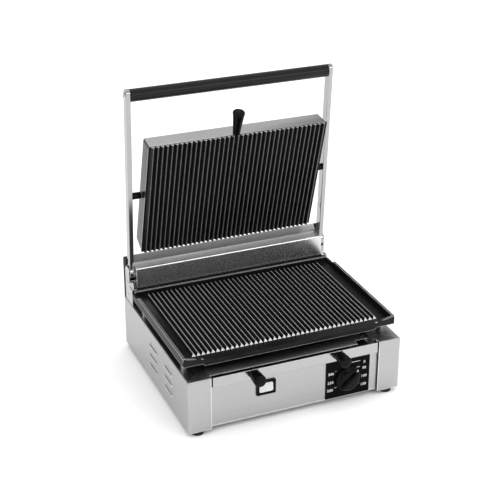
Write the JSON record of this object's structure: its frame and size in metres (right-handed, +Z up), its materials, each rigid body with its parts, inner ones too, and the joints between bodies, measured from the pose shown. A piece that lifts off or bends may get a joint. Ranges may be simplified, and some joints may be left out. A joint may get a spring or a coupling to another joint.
{
  "type": "panini press",
  "caption": "Contact grill: hinged floating upper head with a ribbed plate and bar handle over a ribbed lower plate, with drip drawer, thermostat dial and rocker switch.",
  "frame": {"origin": "on the table, under the middle of the whole object's footprint", "axes": "+X to the user's right, +Y to the rear, +Z up; the upper head is drawn open"},
  "size_m": [0.4052, 0.384, 0.5245],
  "materials": {
    "stainless_satin": "satin brushed stainless",
    "stainless_polished": "mirror-polished stainless",
    "steel_plated": "zinc-plated steel",
    "steel_dark": "heat-tinted steel sheath",
    "cast_iron": "black seasoned cast iron",
    "bakelite": "black moulded bakelite",
    "grip_black": "black satin tube",
    "rubber_black": "black rubber",
    "control_black": "black lacquer",
    "switch_black": "black moulded",
    "rocker_grey": "light grey translucent cap",
    "pointer_white": "white inlay",
    "bronze": "sintered bronze",
    "insulation": "ceramic wool board",
    "nylon_black": "black nylon",
    "terminal_white": "white moulded"
  },
  "bodies": {
    "base": {"left_side_cover": "stainless_satin", "right_side_cover": "stainless_satin", "front_panel": "stainless_satin", "rear_panel": "stainless_satin", "base_pan": "steel_plated", "feet": "rubber_black", "foot_screws": "steel_plated", "cover_screws": "steel_plated", "cable_gland": "nylon_black", "gland_nut": "nylon_black", "terminal_block": "terminal_white", "lower_plate": "cast_iron", "plate_spacers": "steel_plated", "plate_bolts": "steel_plated", "lower_element": "steel_dark", "element_clamps": "steel_plated", "clamp_bolts": "steel_plated", "heat_shield": "stainless_satin", "thermostat_sensor": "steel_plated", "left_drawer_rail": "steel_plated", "right_drawer_rail": "steel_plated", "hinge_housing": "stainless_polished", "hinge_cover": "stainless_satin", "left_hinge_bracket": "stainless_polished", "right_hinge_bracket": "stainless_polished", "gusset_bolts": "steel_plated", "left_arm_stop": "rubber_black", "right_arm_stop": "rubber_black", "bearing_blocks": "steel_plated", "bearing_bushes": "bronze", "torsion_springs": "steel_plated", "control_plate": "control_black", "thermostat_body": "nylon_black", "switch_housing": "switch_black"},
    "arms": {"left_arm": "stainless_polished", "right_arm": "stainless_polished", "hinge_shaft": "steel_plated", "spring_collars": "steel_plated", "handle_grip": "grip_black", "handle_rod": "steel_plated", "handle_screws": "steel_plated", "pivot_pins": "steel_plated", "pivot_sleeves": "bakelite"},
    "head": {"upper_plate": "cast_iron", "upper_cover": "stainless_satin", "upper_element": "steel_dark", "upper_backing_sheet": "steel_plated", "upper_insulation": "insulation", "pivot_blocks": "steel_plated", "head_screws": "steel_plated", "front_knob": "bakelite", "knob_stud": "steel_plated"},
    "drawer": {"drawer_tray": "stainless_satin", "drawer_fascia": "stainless_polished", "drawer_knobs": "bakelite", "knob_screws": "steel_plated"},
    "dial": {"thermostat_dial": "bakelite", "dial_pointer": "pointer_white", "thermostat_shaft": "steel_plated"},
    "rocker": {"switch_rocker": "rocker_grey"}
  },
  "joints": [
    {"name": "arm_swing", "type": "hinge", "parent": "base", "child": "arms", "pos_m": [0, 0.156, 0.166], "axis": [1, 0, 0], "range_deg": [0, 87.8], "stiffness_Nm_per_rad": 5.2, "springref_deg": -44.12},
    {"name": "head_tilt", "type": "hinge", "parent": "arms", "child": "head", "pos_m": [0, 0.1476, 0.3198], "axis": [1, 0, 0], "range_deg": [-14.5, 0]},
    {"name": "drawer_slide", "type": "slide", "parent": "base", "child": "drawer", "axis": [0, -1, 0], "range_m": [0, 0.19]},
    {"name": "dial_turn", "type": "hinge", "parent": "base", "child": "dial", "pos_m": [0.0995, -0.16, 0.047], "axis": [0, 1, 0], "range_deg": [0, 250]},
    {"name": "rocker_tip", "type": "hinge", "parent": "base", "child": "rocker", "pos_m": [-0.057, -0.1565, 0.06575], "axis": [1, 0, 0], "range_deg": [0, 12]}
  ],
  "couplings": [
    {"joint": "head_tilt", "follows": "arm_swing", "ratio": -0.15854}
  ]
}
